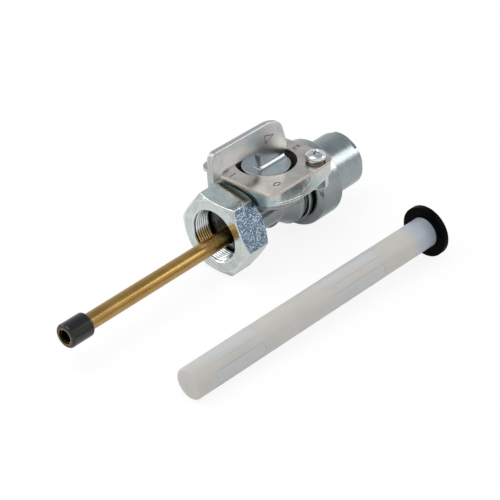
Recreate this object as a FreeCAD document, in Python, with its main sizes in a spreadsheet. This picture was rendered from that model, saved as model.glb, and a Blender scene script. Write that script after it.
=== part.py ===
import FreeCAD, Part
import os
import Sketcher

# Fuel tap lying on its side with the lever on top, with its tank strainer beside it.
# X runs along the tap from the mouth of the union nut to the sediment cup, Z is up, Y is the outlet side.
# The origin is the centre of the nut's mouth; all sizes are in millimetres and degrees.
doc = FreeCAD.newDocument("fuel_tap")
sheet = doc.addObject("Spreadsheet::Sheet", "sizes")

SIZES = [
    # union nut, with its M20 x 1 thread
    ("nut_across_flats", 27.0),
    ("nut_length", 13.2),
    ("nut_roll", 36.0),
    ("nut_front_land_r", 13.2),
    ("nut_front_bevel", 2.2),
    ("nut_rear_land_r", 11.2),
    ("nut_rear_bevel", 4.06),
    ("nut_trim_r", 17.0),
    ("nut_mouth_r", 9.9),
    ("nut_thread_r", 9.46),
    ("nut_thread_length", 7.4),
    ("nut_relief_r", 10.15),
    ("nut_relief_chamfer", 0.5),
    ("nut_lip_thickness", 1.7),
    ("nut_swivel_gap", 0.1),
    ("nut_end_play", 0.2),
    ("nut_side_gap", 0.4),
    ("nut_round_gap", 0.45),
    ("nut_scallop_r", 16.65),
    ("nut_scallop_inset", 1.15),
    # inlet spigot, pressed into the neck, which also keeps the nut on
    ("spigot_flange_r", 9.3),
    ("spigot_flange_length", 2.7),
    ("spigot_stem_r", 6.1),
    ("spigot_stem_length", 8.7),
    ("spigot_recess_r", 6.9),
    ("spigot_recess_depth", 0.9),
    ("reserve_hole_r", 1.5),
    ("reserve_hole_y", 1.95),
    ("reserve_hole_z", 2.35),
    # standpipe and the sleeve over its free end
    ("pipe_r", 2.86),
    ("pipe_bore_r", 2.2),
    ("pipe_y", -1.5),
    ("pipe_z", -1.8),
    ("pipe_free_end_x", -68.5),
    ("pipe_seat_depth", 7.4),
    ("sleeve_r", 4.22),
    ("sleeve_length", 9.3),
    ("sleeve_overhang", 0.7),
    ("sleeve_edge", 0.9),
    ("press_gap", 0.01),
    # tap body
    ("neck_r", 7.2),
    ("cone_behind_nut", 14.3),
    ("cone_length", 5.5),
    ("cone_r", 10.1),
    ("ring_step", 0.4),
    ("ring_width", 1.9),
    ("ring_r", 10.6),
    ("groove_width", 1.7),
    ("groove_r", 9.8),
    ("bead_width", 1.5),
    ("bead_r", 11.3),
    ("collar_groove_width", 1.1),
    ("collar_r", 14.42),
    ("collar_length", 11.8),
    ("collar_front_round", 2.0),
    ("collar_rear_round", 0.5),
    ("hub_behind_nut", 14.4),
    ("pad_front_reach", 16.7),
    ("pad_back_reach", 15.9),
    ("pad_near_reach", 17.5),
    ("pad_far_reach", 15.6),
    ("pad_over_collar", 1.44),
    ("pad_depth", 8.81),
    ("pad_under_reach", 27.0),
    ("pad_under_rise", 7.4),
    ("pad_under_margin", 1.0),
    ("pad_corner", 3.8),
    ("pad_screw_corner", 8.0),
    ("chamber_r", 12.0),
    ("chamber_wall", 1.6),
    ("chamber_depth", 8.26),
    ("chamber_floor", 2.4),
    ("passage_r", 1.7),
    ("main_passage_from_hub", 5.2),
    ("main_passage_y", -3.0),
    ("reserve_passage_from_hub", 4.4),
    ("reserve_passage_y", 3.4),
    ("bowl_passage_from_hub", 5.0),
    ("bowl_passage_z", 4.2),
    ("outlet_from_hub", 2.4),
    ("outlet_z", -4.5),
    ("outlet_boss_r", 6.3),
    ("outlet_boss_y", 13.3),
    ("outlet_root_depth", 8.3),
    ("outlet_drill_depth", 1.0),
    ("screw_boss_r", 4.3),
    ("screw_boss_depth", 8.46),
    # outlet nipple
    ("nipple_r", 3.5),
    ("nipple_bore_r", 2.3),
    ("nipple_root_r", 3.9),
    ("nipple_length", 12.8),
    # lever and what turns with it
    ("lever_round_gap", 0.08),
    ("lever_rest_gap", 0.04),
    ("lever_flange_thickness", 2.76),
    ("lever_disc_r", 8.6),
    ("lever_disc_height", 2.2),
    ("blade_thickness", 2.2),
    ("blade_reach", 27.15),
    ("blade_toe_length", 3.45),
    ("blade_toe_drop", 2.2),
    ("blade_toe_slope", 1.8),
    ("blade_under_height", 7.1),
    ("blade_root_reach", 4.4),
    ("blade_heel_reach", 9.3),
    ("blade_heel_height", 1.1),
    ("blade_back_reach", 10.1),
    ("blade_back_height", 3.7),
    ("blade_shoulder_reach", 7.4),
    ("blade_shoulder_drop", 2.1),
    ("blade_crest_reach", 1.6),
    ("blade_height", 15.73),
    ("blade_rim_inset", 0.3),
    ("blade_foot_inset", 0.8),
    ("blade_foot_height", 1.0),
    ("blade_tip_round", 2.8),
    ("blade_shoulder_round", 2.4),
    ("blade_arch_round", 2.6),
    ("blade_rib_width", 1.4),
    ("blade_rib_height", 1.5),
    ("blade_rib_foot", 0.5),
    ("blade_rib_lip", 0.1),
    ("blade_rib_start", 0.05),
    ("blade_rib_end", 0.5),
    ("seal_height", 1.41),
    ("seal_inset", 1.0),
    ("seal_cord_r", 0.7),
    ("seal_gap", 0.35),
    # valve packing
    ("packing_round_gap", 0.4),
    ("packing_height", 3.0),
    ("packing_port_r", 1.6),
    # dished spring washer between lever flange and cover plate
    ("washer_disc_gap", 0.5),
    ("washer_round_gap", 0.4),
    ("washer_thickness", 0.45),
    ("washer_gap", 0.03),
    # cover plate
    ("plate_overhang", 0.25),
    ("plate_thickness", 0.9),
    ("plate_corner", 4.0),
    ("plate_hole_r", 10.8),
    # plate screws
    ("front_screw_from_hub", 10.6),
    ("front_screw_y", -13.2),
    ("rear_screw_from_hub", -11.4),
    ("rear_screw_y", 11.3),
    ("screw_shank_r", 1.98),
    ("screw_shank_gap", 0.02),
    ("screw_shank_length", 7.4),
    ("screw_hole_depth", 7.7),
    ("screw_seat_r", 3.0),
    ("screw_seat_height", 0.9),
    ("screw_head_r", 3.65),
    ("screw_head_height", 2.3),
    ("screw_head_round", 1.1),
    ("screw_cross_width", 0.8),
    ("screw_cross_length", 3.7),
    ("screw_cross_depth", 1.2),
    # sediment cup with its ring and screen
    ("cup_r", 10.4),
    ("cup_wall", 1.8),
    ("cup_seat_depth", 6.5),
    ("cup_floor", 2.5),
    ("cup_length", 23.0),
    ("cup_flats", 19.6),
    ("cup_flats_length", 1.8),
    ("cup_flats_roll", 29.0),
    ("cup_edge", 0.5),
    ("cup_seal_inset", 1.1),
    ("cup_seal_space", 1.8),
    ("cup_seal_gap", 0.02),
    ("bowl_core_depth", 2.2),
    ("bowl_core_r", 7.6),
    ("screen_rim_gap", 0.15),
    ("screen_rim_depth", 0.7),
    ("screen_rim_length", 1.2),
    ("screen_r", 5.2),
    ("screen_wall", 0.5),
    ("screen_length", 14.8),
    # strainer, measured along its own axis from its closed end
    ("strainer_x", -56.3),
    ("strainer_y", -41.7),
    ("strainer_yaw", -3.85),
    ("strainer_r", 5.45),
    ("strainer_bore_r", 4.3),
    ("strainer_end_wall", 1.4),
    ("strainer_end_round", 0.9),
    ("strainer_length", 111.7),
    ("strainer_flange_r", 7.6),
    ("strainer_flange_length", 1.2),
    ("window_half_width", 2.7),
    ("first_window_x", 5.5),
    ("first_window_length", 25.0),
    ("second_window_x", 58.0),
    ("second_window_length", 32.0),
    ("window_cut_margin", 1.0),
    ("mesh_pocket_r", 4.9),
    ("mesh_pocket_margin", 0.8),
    ("mesh_gap", 0.04),
    ("mesh_thickness", 0.3),
    ("gasket_r", 9.2),
    ("gasket_thickness", 1.9),
    ("gasket_fit", 0.02),
]

for row, (name, value) in enumerate(SIZES, start=1):
    sheet.set("A%d" % row, name)
    sheet.set("B%d" % row, str(value))
    sheet.setAlias("B%d" % row, name)
doc.recompute()

START_VALUES = dict(SIZES)
TURN_X = FreeCAD.Rotation(FreeCAD.Vector(0, 1, 0), 90)
TURN_Y = FreeCAD.Rotation(FreeCAD.Vector(1, 0, 0), -90)
TURN_Z = FreeCAD.Rotation()
PARTS = []
SAME_PLACE = 1e-3

# Places along the tap, each counted from the piece that it follows.
NUT_LIP = "(sizes.nut_length - sizes.nut_lip_thickness)"
SPIGOT_BACK = "(%s - sizes.nut_end_play)" % NUT_LIP
SPIGOT_FACE = "(%s - sizes.spigot_flange_length)" % SPIGOT_BACK
PIPE_SEAT = "(%s + sizes.pipe_seat_depth)" % SPIGOT_FACE
CONE_X = "(sizes.nut_length + sizes.cone_behind_nut)"
RING_X = "(%s + sizes.cone_length)" % CONE_X
GROOVE_X = "(%s + sizes.ring_width)" % RING_X
BEAD_X = "(%s + sizes.groove_width)" % GROOVE_X
BEAD_END = "(%s + sizes.bead_width)" % BEAD_X
COLLAR_X = "(%s + sizes.collar_groove_width)" % BEAD_END
COLLAR_END = "(%s + sizes.collar_length)" % COLLAR_X
CUP_SEAT = "(%s - sizes.cup_seat_depth)" % COLLAR_END
CUP_END = "(%s + sizes.cup_length)" % CUP_SEAT
BOWL_SHOULDER = "(%s - sizes.cup_seal_space)" % CUP_SEAT
BOWL_CORE = "(%s - sizes.bowl_core_depth)" % BOWL_SHOULDER
# Places round the lever's axis, the hub.
HUB_X = "(sizes.nut_length + sizes.hub_behind_nut)"
HOUSING_R = "(sizes.chamber_r + sizes.chamber_wall)"
PAD_X = "(%s - sizes.pad_front_reach)" % HUB_X
OUTLET_X = "(%s + sizes.outlet_from_hub)" % HUB_X
OUTLET_ROOT = "(sizes.outlet_boss_y - sizes.outlet_root_depth)"
SCREW_X = {side: "(%s + sizes.%s_screw_from_hub)" % (HUB_X, side) for side in ("front", "rear")}
PAD_TOP = "(sizes.collar_r + sizes.pad_over_collar)"
PAD_ROOT = "(%s - sizes.pad_depth)" % PAD_TOP
CHAMBER_FLOOR = "(%s - sizes.chamber_depth)" % PAD_TOP
SCREW_HOLE_R = "(sizes.screw_shank_r + sizes.screw_shank_gap)"
PLATE_TOP = "(%s + sizes.plate_thickness)" % PAD_TOP
SCREW_HEAD_Z = "(%s + sizes.screw_seat_height)" % PLATE_TOP
FLANGE_Z = "(%s + sizes.packing_height + sizes.lever_rest_gap)" % CHAMBER_FLOOR
FLANGE_TOP = "(%s + sizes.lever_flange_thickness)" % FLANGE_Z
DISC_Z = "(%s + sizes.lever_disc_height)" % FLANGE_TOP
SEAL_R = "(sizes.chamber_r - sizes.seal_inset)"
SEAL_Z = "(%s + sizes.seal_height)" % FLANGE_Z


def sub_part(label):
    body = doc.addObject("PartDesign::Body", label)
    body.Label = label
    PARTS.append(body)
    return body


def drive(item, **rules):
    for path, rule in rules.items():
        item.setExpression(path.replace("__", "."), rule)


def place(item, turn, x, y, z):
    item.Placement = FreeCAD.Placement(FreeCAD.Vector(0, 0, 0), turn)
    drive(item, Placement__Base__x=x, Placement__Base__y=y, Placement__Base__z=z)


def round_bar(body, kind, name, turn, at, radius, length):
    bar = body.newObject("PartDesign::%sCylinder" % kind, name)
    place(bar, turn, *at)
    drive(bar, Radius=radius, Height=length)
    return bar


def block(body, kind, name, low, span):
    box = body.newObject("PartDesign::%sBox" % kind, name)
    place(box, TURN_Z, *low)
    drive(box, Length=span[0], Width=span[1], Height=span[2])
    return box


def ring_cord(body, name, turn, at, ring_r, cord_r):
    cord = body.newObject("PartDesign::AdditiveTorus", name)
    place(cord, turn, *at)
    drive(cord, Radius1=ring_r, Radius2=cord_r)
    return cord


def outline(body, name, role, corners):
    # a closed outline of straight lines whose corners are each held by two driven sizes
    sketch = body.newObject("Sketcher::SketchObject", name)
    plane = [f for f in body.Origin.OriginFeatures if f.Role == role][0]
    sketch.AttachmentSupport = [(plane, "")]
    sketch.MapMode = "FlatFace"
    starts = [(evaluated(a), evaluated(b)) for a, b in corners]
    count = len(starts)
    for i in range(count):
        a = starts[i]
        b = starts[(i + 1) % count]
        line = Part.LineSegment(FreeCAD.Vector(a[0], a[1], 0), FreeCAD.Vector(b[0], b[1], 0))
        sketch.addGeometry(line, False)
    for i in range(count):
        sketch.addConstraint(Sketcher.Constraint("Coincident", i, 2, (i + 1) % count, 1))
    for i, (a, b) in enumerate(corners):
        for axis, rule, start in (("DistanceX", a, starts[i][0]), ("DistanceY", b, starts[i][1])):
            held = sketch.addConstraint(Sketcher.Constraint(axis, -1, 1, i, 1, start))
            sketch.setExpression("Constraints[%d]" % held, rule)
    return sketch


def evaluated(rule):
    # the number that a driven size starts from
    return float(sheet.evalExpression(rule.replace("sizes.", "")))


def revolved(body, kind, name, corners):
    sketch = outline(body, name + "_profile", "XZ_Plane", corners)
    turned = body.newObject("PartDesign::%s" % kind, name)
    turned.Profile = sketch
    turned.ReferenceAxis = (sketch, ["H_Axis"])
    turned.Angle = 360
    return turned


def rounded(body, kind, name, wanted, radius):
    # a fillet or chamfer on the edges of the body so far that fit the given test
    doc.recompute()
    base = body.Tip
    edges = ["Edge%d" % (i + 1) for i, e in enumerate(base.Shape.Edges) if wanted(e)]
    feature = body.newObject("PartDesign::%s" % kind, name)
    feature.Base = (base, edges)
    if kind == "Fillet":
        feature.setExpression("Radius", radius)
    else:
        feature.setExpression("Size", radius)
    return feature


def runs_along(edge, axis, length):
    # true for a straight edge along one axis with the given length
    box = edge.BoundBox
    spans = (box.XLength, box.YLength, box.ZLength)
    others = [s for i, s in enumerate(spans) if i != axis]
    return abs(spans[axis] - length) < SAME_PLACE and max(others) < SAME_PLACE


def hub_axis(body, name):
    # an upright datum line through the lever's axis
    line = body.newObject("PartDesign::Line", name)
    place(line, TURN_Z, HUB_X, "0", "0")
    return line


def turned_on_hub(body, kind, name, corners):
    turned = body.newObject("PartDesign::%s" % kind, name)
    turned.Profile = outline(body, name + "_profile", "XZ_Plane", corners)
    turned.ReferenceAxis = (hub_axis(body, name + "_axis"), [""])
    turned.Angle = 360
    return turned


def circle_at(edge, axis, place_on_axis, radius):
    # true for a full circle edge about an axis direction, at a place along it
    if not isinstance(edge.Curve, Part.Circle) or abs(edge.Curve.Radius - radius) > SAME_PLACE:
        return False
    centre = edge.Curve.Center
    return abs((centre.x, centre.y, centre.z)[axis] - place_on_axis) < SAME_PLACE


# Union nut: a steel hexagon, bevelled at both ends, bored and threaded from its mouth.
# A lip at its back turns on the neck of the body behind the flange of the spigot.
nut = sub_part("union_nut")
hexagon = nut.newObject("PartDesign::AdditivePrism", "nut_hexagon")
hexagon.Polygon = 6
drive(hexagon, Circumradius="sizes.nut_across_flats / 2 / cos(30)", Height="sizes.nut_length")
hexagon.setExpression("Placement", "placement(vector(0; 0; 0); rotationx(sizes.nut_roll) * rotationy(90))")
revolved(nut, "Groove", "nut_front_cone", [
    ("0", "sizes.nut_front_land_r"),
    ("0", "sizes.nut_trim_r"),
    ("sizes.nut_front_bevel", "sizes.nut_trim_r"),
])
revolved(nut, "Groove", "nut_rear_cone", [
    ("sizes.nut_length", "sizes.nut_rear_land_r"),
    ("sizes.nut_length", "sizes.nut_trim_r"),
    ("sizes.nut_length - sizes.nut_rear_bevel", "sizes.nut_trim_r"),
])
revolved(nut, "Groove", "nut_bore", [
    ("0", "0"),
    ("0", "sizes.nut_mouth_r"),
    ("sizes.nut_mouth_r - sizes.nut_thread_r", "sizes.nut_thread_r"),
    ("sizes.nut_thread_length", "sizes.nut_thread_r"),
    ("sizes.nut_thread_length + sizes.nut_relief_chamfer", "sizes.nut_relief_r"),
    (NUT_LIP, "sizes.nut_relief_r"),
    (NUT_LIP, "sizes.neck_r + sizes.nut_swivel_gap"),
    ("sizes.nut_length", "sizes.neck_r + sizes.nut_swivel_gap"),
    ("sizes.nut_length", "0"),
])

# Inlet spigot: flange and stem turned in one, with the seat of the standpipe and the reserve inlet beside it.
spigot = sub_part("inlet_spigot")
round_bar(spigot, "Additive", "spigot_flange", TURN_X, (SPIGOT_FACE, "0", "0"),
          "sizes.spigot_flange_r", "sizes.spigot_flange_length")
round_bar(spigot, "Additive", "spigot_stem", TURN_X, (SPIGOT_BACK, "0", "0"),
          "sizes.spigot_stem_r - sizes.press_gap", "sizes.spigot_stem_length")
round_bar(spigot, "Subtractive", "spigot_recess", TURN_X, (SPIGOT_FACE, "0", "0"),
          "sizes.spigot_recess_r", "sizes.spigot_recess_depth")
round_bar(spigot, "Subtractive", "standpipe_seat", TURN_X, (SPIGOT_FACE, "sizes.pipe_y", "sizes.pipe_z"),
          "sizes.pipe_r + sizes.press_gap", "sizes.spigot_flange_length + sizes.spigot_stem_length")
round_bar(spigot, "Subtractive", "reserve_inlet", TURN_X,
          (SPIGOT_FACE, "sizes.reserve_hole_y", "sizes.reserve_hole_z"),
          "sizes.reserve_hole_r", "sizes.spigot_flange_length + sizes.spigot_stem_length")

# Standpipe: drawn brass tube, open at both ends.
pipe = sub_part("standpipe")
round_bar(pipe, "Additive", "pipe_wall", TURN_X, ("sizes.pipe_free_end_x", "sizes.pipe_y", "sizes.pipe_z"),
          "sizes.pipe_r", PIPE_SEAT + " - sizes.pipe_free_end_x")
round_bar(pipe, "Subtractive", "pipe_bore", TURN_X, ("sizes.pipe_free_end_x", "sizes.pipe_y", "sizes.pipe_z"),
          "sizes.pipe_bore_r", PIPE_SEAT + " - sizes.pipe_free_end_x")

# Sleeve: black plastic tube pushed over the free end of the standpipe, standing out a little past it.
sleeve = sub_part("standpipe_cap")
sleeve_start = "sizes.pipe_free_end_x - sizes.sleeve_overhang"
round_bar(sleeve, "Additive", "sleeve_wall", TURN_X, (sleeve_start, "sizes.pipe_y", "sizes.pipe_z"),
          "sizes.sleeve_r", "sizes.sleeve_length")
sleeve_x = evaluated(sleeve_start)
sleeve_end = sleeve_x + START_VALUES["sleeve_length"]
rounded(sleeve, "Fillet", "sleeve_rounding", lambda e: circle_at(e, 0, sleeve_x, START_VALUES["sleeve_r"])
        or circle_at(e, 0, sleeve_end, START_VALUES["sleeve_r"]), "sizes.sleeve_edge")
round_bar(sleeve, "Subtractive", "sleeve_bore", TURN_X, (sleeve_start, "sizes.pipe_y", "sizes.pipe_z"),
          "sizes.pipe_r + sizes.press_gap", "sizes.sleeve_length")

# Tap body: one zinc casting. The neck, cone, ring, bead and collar are turned about the tap's own axis.
tap = sub_part("tap_body")
revolved(tap, "Revolution", "barrel", [
    (SPIGOT_BACK, "0"),
    (SPIGOT_BACK, "sizes.neck_r"),
    (CONE_X, "sizes.neck_r"),
    (RING_X, "sizes.cone_r"),
    (RING_X + " + sizes.ring_step", "sizes.ring_r"),
    (GROOVE_X, "sizes.ring_r"),
    (GROOVE_X, "sizes.groove_r"),
    (BEAD_X, "sizes.groove_r"),
    (BEAD_X, "sizes.bead_r"),
    (BEAD_END, "sizes.bead_r"),
    (BEAD_END, "sizes.groove_r"),
    (COLLAR_X, "sizes.groove_r"),
    (COLLAR_X, "sizes.collar_r"),
    (COLLAR_END, "sizes.collar_r"),
    (COLLAR_END, "0"),
])
for end, rule in (("front", COLLAR_X), ("rear", COLLAR_END)):
    collar_edge_x = evaluated(rule)
    rounded(tap, "Fillet", "collar_%s_rounding" % end,
            lambda e: circle_at(e, 0, collar_edge_x, START_VALUES["collar_r"]), "sizes.collar_%s_round" % end)
# The pad for the cover plate is a thick square flange, whose underside rises outward from the housing.
# Its far corner on the nut's side follows the rear screw.
pad = doc.addObject("PartDesign::Body", "pad_blank")
block(pad, "Additive", "pad_block", (PAD_X, "-sizes.pad_near_reach", PAD_ROOT),
      ("sizes.pad_front_reach + sizes.pad_back_reach", "sizes.pad_near_reach + sizes.pad_far_reach",
       "sizes.pad_depth"))


def at_rear_screw(edge):
    centre = edge.BoundBox.Center
    return centre.x < evaluated(HUB_X) and centre.y > 0


rounded(pad, "Fillet", "pad_corners",
        lambda e: runs_along(e, 2, START_VALUES["pad_depth"]) and not at_rear_screw(e), "sizes.pad_corner")
rounded(pad, "Fillet", "pad_rear_screw_corner",
        lambda e: runs_along(e, 2, START_VALUES["pad_depth"]) and at_rear_screw(e), "sizes.pad_screw_corner")
turned_on_hub(pad, "Groove", "pad_underside", [
    (HUB_X + " + " + HOUSING_R, PAD_ROOT),
    (HUB_X + " + " + HOUSING_R, PAD_ROOT + " - sizes.pad_under_margin"),
    (HUB_X + " + sizes.pad_under_reach", PAD_ROOT + " - sizes.pad_under_margin"),
    (HUB_X + " + sizes.pad_under_reach", PAD_ROOT + " + sizes.pad_under_rise"),
])
doc.recompute()
pad_join = tap.newObject("PartDesign::Boolean", "pad_join")
pad_join.setObjects([pad])
tap.Tip = pad_join
# The upright housing of the valve, the bosses of the plate screws and the boss of the outlet.
round_bar(tap, "Additive", "valve_housing", TURN_Z, (HUB_X, "0", CHAMBER_FLOOR + " - sizes.chamber_floor"),
          HOUSING_R, "sizes.chamber_depth + sizes.chamber_floor")
for side in ("front", "rear"):
    round_bar(tap, "Additive", side + "_screw_boss", TURN_Z,
              (SCREW_X[side], "sizes.%s_screw_y" % side, PAD_TOP + " - sizes.screw_boss_depth"),
              "sizes.screw_boss_r", "sizes.screw_boss_depth")
round_bar(tap, "Additive", "outlet_boss", TURN_Y, (OUTLET_X, "0", "sizes.outlet_z"),
          "sizes.outlet_boss_r", "sizes.outlet_boss_y")
# Machined hollows: valve chamber, spigot bore, screw holes, bowl thread and the drilled passages.
round_bar(tap, "Subtractive", "valve_chamber", TURN_Z, (HUB_X, "0", CHAMBER_FLOOR),
          "sizes.chamber_r", "sizes.chamber_depth")
nut_slope = "(sizes.nut_trim_r - sizes.nut_rear_land_r) / sizes.nut_rear_bevel"
nut_clearance_r = "sizes.nut_rear_land_r + sizes.nut_round_gap"
nut_clearance_x = "sizes.nut_length + sizes.nut_side_gap"
scallop_x = "(sizes.nut_length - sizes.nut_scallop_inset)"
revolved(tap, "Groove", "nut_clearance", [
    (SPIGOT_FACE, "sizes.neck_r"),
    (SPIGOT_FACE, "sizes.nut_scallop_r"),
    (scallop_x, "sizes.nut_scallop_r"),
    (scallop_x, "%s + %s * (%s - %s)" % (nut_clearance_r, nut_slope, nut_clearance_x, scallop_x)),
    (nut_clearance_x, nut_clearance_r),
    (nut_clearance_x, "sizes.neck_r"),
])
round_bar(tap, "Subtractive", "spigot_bore", TURN_X, (SPIGOT_BACK, "0", "0"),
          "sizes.spigot_stem_r", "sizes.spigot_stem_length")
for side in ("front", "rear"):
    round_bar(tap, "Subtractive", side + "_screw_hole", TURN_Z,
              (SCREW_X[side], "sizes.%s_screw_y" % side, PAD_TOP + " - sizes.screw_hole_depth"),
              SCREW_HOLE_R, "sizes.screw_hole_depth")
revolved(tap, "Groove", "bowl_seat", [
    (COLLAR_END, "0"),
    (COLLAR_END, "sizes.cup_r + sizes.press_gap"),
    (BOWL_SHOULDER, "sizes.cup_r + sizes.press_gap"),
    (BOWL_SHOULDER, "sizes.bowl_core_r"),
    (BOWL_CORE, "sizes.bowl_core_r"),
    (BOWL_CORE, "0"),
])
main_x = HUB_X + " - sizes.main_passage_from_hub"
reserve_x = HUB_X + " - sizes.reserve_passage_from_hub"
bowl_x = HUB_X + " + sizes.bowl_passage_from_hub"
round_bar(tap, "Subtractive", "main_passage", TURN_X, (PIPE_SEAT, "sizes.main_passage_y", "sizes.pipe_z"),
          "sizes.passage_r", main_x + " - " + PIPE_SEAT)
round_bar(tap, "Subtractive", "main_riser", TURN_Z, (main_x, "sizes.main_passage_y", "sizes.pipe_z"),
          "sizes.passage_r", CHAMBER_FLOOR + " - sizes.pipe_z")
round_bar(tap, "Subtractive", "reserve_passage", TURN_X,
          (PIPE_SEAT, "sizes.reserve_passage_y", "sizes.reserve_hole_z"),
          "sizes.passage_r", reserve_x + " - " + PIPE_SEAT)
round_bar(tap, "Subtractive", "reserve_riser", TURN_Z,
          (reserve_x, "sizes.reserve_passage_y", "sizes.reserve_hole_z"),
          "sizes.passage_r", CHAMBER_FLOOR + " - sizes.reserve_hole_z")
round_bar(tap, "Subtractive", "bowl_passage", TURN_X, (bowl_x, "0", "sizes.bowl_passage_z"),
          "sizes.passage_r", BOWL_CORE + " - (" + bowl_x + ")")
round_bar(tap, "Subtractive", "bowl_riser", TURN_Z, (bowl_x, "0", "sizes.bowl_passage_z"),
          "sizes.passage_r", CHAMBER_FLOOR + " - sizes.bowl_passage_z")
round_bar(tap, "Subtractive", "nipple_seat", TURN_Y, (OUTLET_X, OUTLET_ROOT, "sizes.outlet_z"),
          "sizes.nipple_root_r", "sizes.outlet_root_depth")
outlet_drill_y = OUTLET_ROOT + " - sizes.outlet_drill_depth"
round_bar(tap, "Subtractive", "outlet_passage", TURN_X, (OUTLET_X, outlet_drill_y, "sizes.outlet_z"),
          "sizes.passage_r", BOWL_CORE + " - " + OUTLET_X)
round_bar(tap, "Subtractive", "outlet_link", TURN_Y, (OUTLET_X, outlet_drill_y, "sizes.outlet_z"),
          "sizes.passage_r", "sizes.outlet_drill_depth")

# Outlet nipple: plain tube for the fuel hose, with a thicker root pressed into its boss.
nipple = sub_part("outlet_nipple")
nipple_span = "sizes.outlet_root_depth + sizes.nipple_length"
round_bar(nipple, "Additive", "nipple_tube", TURN_Y, (OUTLET_X, OUTLET_ROOT, "sizes.outlet_z"),
          "sizes.nipple_r", nipple_span)
round_bar(nipple, "Additive", "nipple_root", TURN_Y, (OUTLET_X, OUTLET_ROOT, "sizes.outlet_z"),
          "sizes.nipple_root_r - sizes.press_gap", "sizes.outlet_root_depth")
round_bar(nipple, "Subtractive", "nipple_bore", TURN_Y, (OUTLET_X, OUTLET_ROOT, "sizes.outlet_z"),
          "sizes.nipple_bore_r", nipple_span)

# Lever: zinc casting with a flange in the chamber, a disc in the plate's hole and an upright blade as handle.
lever = sub_part("lever")
round_bar(lever, "Additive", "lever_flange", TURN_Z, (HUB_X, "0", FLANGE_Z),
          "sizes.chamber_r - sizes.lever_round_gap", "sizes.lever_flange_thickness")
round_bar(lever, "Additive", "lever_disc", TURN_Z, (HUB_X, "0", FLANGE_Z),
          "sizes.lever_disc_r", "sizes.lever_flange_thickness + sizes.lever_disc_height")
TIP_X = "(%s - sizes.blade_reach)" % HUB_X
TOE_X = "(%s + sizes.blade_toe_length)" % TIP_X
ROOT_X = "(%s - sizes.blade_root_reach)" % HUB_X
CREST_X = "(%s + sizes.blade_crest_reach)" % HUB_X
SHOULDER_X = "(%s + sizes.blade_shoulder_reach)" % HUB_X
BLADE_TOP = "(%s + sizes.blade_height)" % DISC_Z
SHOULDER_Z = "(%s - sizes.blade_shoulder_drop)" % BLADE_TOP
BLADE_UNDER = "(%s + sizes.blade_under_height)" % DISC_Z
DISC_RIM_X = "%s + sizes.lever_disc_r" % HUB_X
blade_outline = outline(lever, "blade_outline", "XZ_Plane", [
    (TIP_X, BLADE_UNDER + " - sizes.blade_toe_drop"),
    (TIP_X, BLADE_TOP),
    (CREST_X, BLADE_TOP),
    (SHOULDER_X, SHOULDER_Z),
    (HUB_X + " + sizes.blade_back_reach", DISC_Z + " + sizes.blade_back_height"),
    (HUB_X + " + sizes.blade_heel_reach", DISC_Z + " + sizes.blade_heel_height"),
    (DISC_RIM_X + " - sizes.blade_rim_inset", DISC_Z),
    (DISC_RIM_X + " - sizes.blade_foot_inset", FLANGE_Z + " + sizes.blade_foot_height"),
    (ROOT_X, FLANGE_Z + " + sizes.blade_foot_height"),
    (ROOT_X, BLADE_UNDER),
    (TOE_X + " + sizes.blade_toe_slope", BLADE_UNDER),
    (TOE_X, BLADE_UNDER + " - sizes.blade_toe_drop"),
])
blade = lever.newObject("PartDesign::Pad", "blade")
blade.Profile = blade_outline
blade.Midplane = True
drive(blade, Length="sizes.blade_thickness")


def blade_corner(x_rule, z_rule):
    # the short cross edges of the blade at one corner of its outline
    x = evaluated(x_rule)
    z = evaluated(z_rule)

    def fits(edge):
        centre = edge.BoundBox.Center
        across = runs_along(edge, 1, START_VALUES["blade_thickness"])
        return across and abs(centre.x - x) < SAME_PLACE and abs(centre.z - z) < SAME_PLACE
    return fits


rounded(lever, "Fillet", "blade_tip_rounding", blade_corner(TIP_X, BLADE_TOP), "sizes.blade_tip_round")
rounded(lever, "Fillet", "blade_shoulder_rounding", blade_corner(SHOULDER_X, SHOULDER_Z),
        "sizes.blade_shoulder_round")
rounded(lever, "Fillet", "blade_arch_rounding", blade_corner(ROOT_X, BLADE_UNDER), "sizes.blade_arch_round")

# a sloping rib along both sides of the blade's root, ending just inside the rim of the disc
rib_half = "(sizes.blade_thickness / 2 + sizes.blade_rib_width)"
root_outline = outline(lever, "root_outline", "YZ_Plane", [
    ("-" + rib_half, DISC_Z + " - sizes.blade_rib_foot"),
    (rib_half, DISC_Z + " - sizes.blade_rib_foot"),
    (rib_half, DISC_Z + " + sizes.blade_rib_lip"),
    ("sizes.blade_thickness / 2 - sizes.blade_rib_lip", DISC_Z + " + sizes.blade_rib_height"),
    ("sizes.blade_rib_lip - sizes.blade_thickness / 2", DISC_Z + " + sizes.blade_rib_height"),
    ("-" + rib_half, DISC_Z + " + sizes.blade_rib_lip"),
])
root_outline.setExpression("AttachmentOffset.Base.z", ROOT_X + " + sizes.blade_rib_start")
root_rib = lever.newObject("PartDesign::Pad", "root_rib")
root_rib.Profile = root_outline
drive(root_rib, Length="%s - sizes.blade_rib_end - sizes.blade_rib_start - %s" % (DISC_RIM_X, ROOT_X))
seal_groove = lever.newObject("PartDesign::SubtractiveTorus", "seal_groove")
place(seal_groove, TURN_Z, HUB_X, "0", SEAL_Z)
drive(seal_groove, Radius1=SEAL_R + " + sizes.seal_gap", Radius2="sizes.seal_cord_r + sizes.seal_gap")

# Ring in the groove of the lever, packing under it and the dished washer that presses it down.
seal = sub_part("lever_seal_ring")
ring_cord(seal, "lever_seal_cord", TURN_Z, (HUB_X, "0", SEAL_Z), SEAL_R, "sizes.seal_cord_r")

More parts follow.
